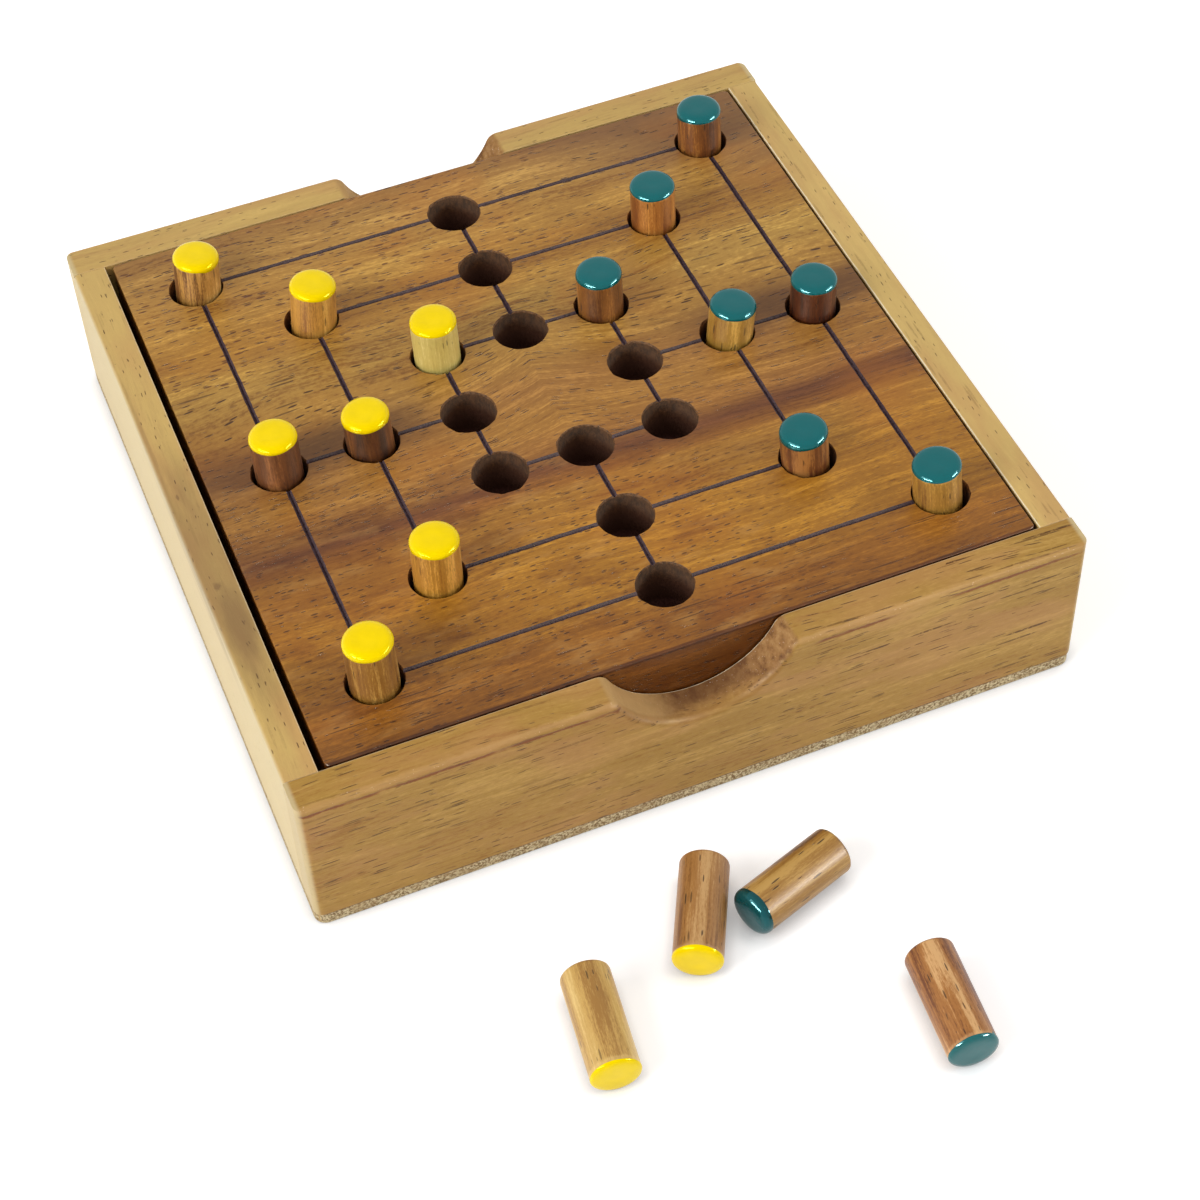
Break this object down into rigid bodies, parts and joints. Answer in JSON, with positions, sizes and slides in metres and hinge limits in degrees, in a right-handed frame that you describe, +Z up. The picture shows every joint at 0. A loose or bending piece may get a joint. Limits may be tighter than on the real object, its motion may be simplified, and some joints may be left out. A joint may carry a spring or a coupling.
{
  "type": "peg board game",
  "caption": "Square wooden peg game: a lift-out board with scored nested squares and drilled holes in a low tray with finger scoops, and round wooden pegs with enamelled ends.",
  "frame": {"origin": "centre of the underside of the tray's base, where the set stands on a table", "axes": "+Z up, out of the board; +X to the right along the front rail; +Y from the front rail to the back rail"},
  "size_m": [0.1314, 0.1956, 0.0399],
  "materials": {
    "rail_wood": "satin",
    "board_wood": "satin",
    "base_ply": "raw",
    "bearer_wood": "raw",
    "yellow_peg_wood": "lacquered, one end dipped in yellow enamel",
    "green_peg_wood": "lacquered, one end dipped in dark green enamel"
  },
  "bodies": {
    "tray": {"base_panel": "base_ply", "front_rail": "rail_wood", "back_rail": "rail_wood", "left_rail": "rail_wood", "right_rail": "rail_wood", "left_bearer": "bearer_wood", "right_bearer": "bearer_wood"},
    "board": {"playing_board": "board_wood"},
    "yellow_peg_1_body": {"yellow_peg_1": "yellow_peg_wood"},
    "yellow_peg_2_body": {"yellow_peg_2": "yellow_peg_wood"},
    "yellow_peg_3_body": {"yellow_peg_3": "yellow_peg_wood"},
    "yellow_peg_4_body": {"yellow_peg_4": "yellow_peg_wood"},
    "yellow_peg_5_body": {"yellow_peg_5": "yellow_peg_wood"},
    "yellow_peg_6_body": {"yellow_peg_6": "yellow_peg_wood"},
    "yellow_peg_7_body": {"yellow_peg_7": "yellow_peg_wood"},
    "green_peg_1_body": {"green_peg_1": "green_peg_wood"},
    "green_peg_2_body": {"green_peg_2": "green_peg_wood"},
    "green_peg_3_body": {"green_peg_3": "green_peg_wood"},
    "green_peg_4_body": {"green_peg_4": "green_peg_wood"},
    "green_peg_5_body": {"green_peg_5": "green_peg_wood"},
    "green_peg_6_body": {"green_peg_6": "green_peg_wood"},
    "green_peg_7_body": {"green_peg_7": "green_peg_wood"},
    "yellow_peg_8_body": {"yellow_peg_8": "yellow_peg_wood"},
    "yellow_peg_9_body": {"yellow_peg_9": "yellow_peg_wood"},
    "green_peg_8_body": {"green_peg_8": "green_peg_wood"},
    "green_peg_9_body": {"green_peg_9": "green_peg_wood"}
  },
  "joints": [
    {"name": "board_lift", "type": "slide", "parent": "tray", "child": "board", "axis": [0, 0, 1], "range_m": [0, 0.05]},
    {"name": "yellow_peg_1_pull", "type": "slide", "parent": "board", "child": "yellow_peg_1_body", "axis": [0.0755, 0, 0.9971], "range_m": [0, 0.02]},
    {"name": "yellow_peg_2_pull", "type": "slide", "parent": "board", "child": "yellow_peg_2_body", "axis": [0.08, -0.0141, 0.9967], "range_m": [0, 0.02]},
    {"name": "yellow_peg_3_pull", "type": "slide", "parent": "board", "child": "yellow_peg_3_body", "axis": [-0.0228, -0.0083, 0.9997], "range_m": [0, 0.02]},
    {"name": "yellow_peg_4_pull", "type": "slide", "parent": "board", "child": "yellow_peg_4_body", "axis": [-0.0423, 0.0037, 0.9991], "range_m": [0, 0.02]},
    {"name": "yellow_peg_5_pull", "type": "slide", "parent": "board", "child": "yellow_peg_5_body", "axis": [-0.0061, 0.0105, 0.9999], "range_m": [0, 0.02]},
    {"name": "yellow_peg_6_pull", "type": "slide", "parent": "board", "child": "yellow_peg_6_body", "axis": [0.0097, 0.0081, 0.9999], "range_m": [0, 0.02]},
    {"name": "yellow_peg_7_pull", "type": "slide", "parent": "board", "child": "yellow_peg_7_body", "axis": [-0.0142, -0.0025, 0.9999], "range_m": [0, 0.02]},
    {"name": "green_peg_1_pull", "type": "slide", "parent": "board", "child": "green_peg_1_body", "axis": [-0.0215, 0.0078, 0.9997], "range_m": [0, 0.02]},
    {"name": "green_peg_2_pull", "type": "slide", "parent": "board", "child": "green_peg_2_body", "axis": [-0.0202, -0.0116, 0.9997], "range_m": [0, 0.02]},
    {"name": "green_peg_3_pull", "type": "slide", "parent": "board", "child": "green_peg_3_body", "axis": [-0.0232, -0.002, 0.9997], "range_m": [0, 0.02]},
    {"name": "green_peg_4_pull", "type": "slide", "parent": "board", "child": "green_peg_4_body", "axis": [0.0096, 0.0035, 0.9999], "range_m": [0, 0.02]},
    {"name": "green_peg_5_pull", "type": "slide", "parent": "board", "child": "green_peg_5_body", "axis": [0.0889, 0, 0.996], "range_m": [0, 0.02]},
    {"name": "green_peg_6_pull", "type": "slide", "parent": "board", "child": "green_peg_6_body", "axis": [-0.0716, 0, 0.9974], "range_m": [0, 0.02]},
    {"name": "green_peg_7_pull", "type": "slide", "parent": "board", "child": "green_peg_7_body", "axis": [-0.0818, 0.0219, 0.9964], "range_m": [0, 0.02]},
    {"name": "yellow_peg_8_pick_up", "type": "slide", "parent": "tray", "child": "yellow_peg_8_body", "axis": [0, 0, 1], "range_m": [0, 0.03]},
    {"name": "yellow_peg_9_pick_up", "type": "slide", "parent": "tray", "child": "yellow_peg_9_body", "axis": [0, 0, 1], "range_m": [0, 0.03]},
    {"name": "green_peg_8_pick_up", "type": "slide", "parent": "tray", "child": "green_peg_8_body", "axis": [0, 0, 1], "range_m": [0, 0.03]},
    {"name": "green_peg_9_pick_up", "type": "slide", "parent": "tray", "child": "green_peg_9_body", "axis": [0, 0, 1], "range_m": [0, 0.03]}
  ]
}
